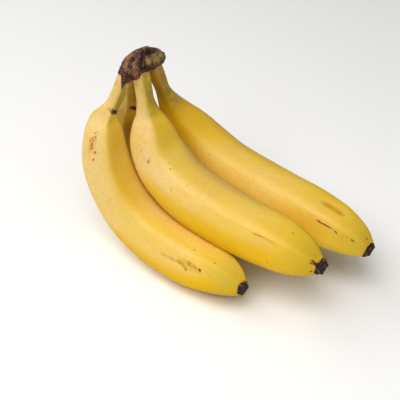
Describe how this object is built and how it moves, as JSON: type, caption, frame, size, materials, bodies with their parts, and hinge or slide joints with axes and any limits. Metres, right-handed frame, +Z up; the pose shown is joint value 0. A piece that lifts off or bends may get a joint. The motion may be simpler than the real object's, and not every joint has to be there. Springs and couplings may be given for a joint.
{
  "type": "hand of cavendish bananas",
  "caption": "Hand of ripe bananas joined at a cut brown crown, with long curved angular fingers lying on their convex backs and dark dried flower ends.",
  "frame": {"origin": "middle of the hand's footprint, on the surface that it rests on", "axes": "+X along the fingers from the crown end to the flower ends, +Y across the hand, +Z up"},
  "size_m": [0.1808, 0.096, 0.1292],
  "materials": {
    "peel": "ripe yellow banana peel, smooth and slightly waxy, with a satin sheen and brown flecks",
    "crown": "cut and dried crown, dark brown and rough, with tan fibrous faces",
    "dried": "dried flower end, nearly black and shrivelled"
  },
  "bodies": {
    "root": {"crown": "crown", "banana_left": "peel", "banana_middle": "peel", "banana_right": "peel", "banana_under": "peel", "dried_tip_left": "dried", "dried_tip_middle": "dried", "dried_tip_right": "dried", "dried_tip_under": "dried"}
  },
  "joints": []
}
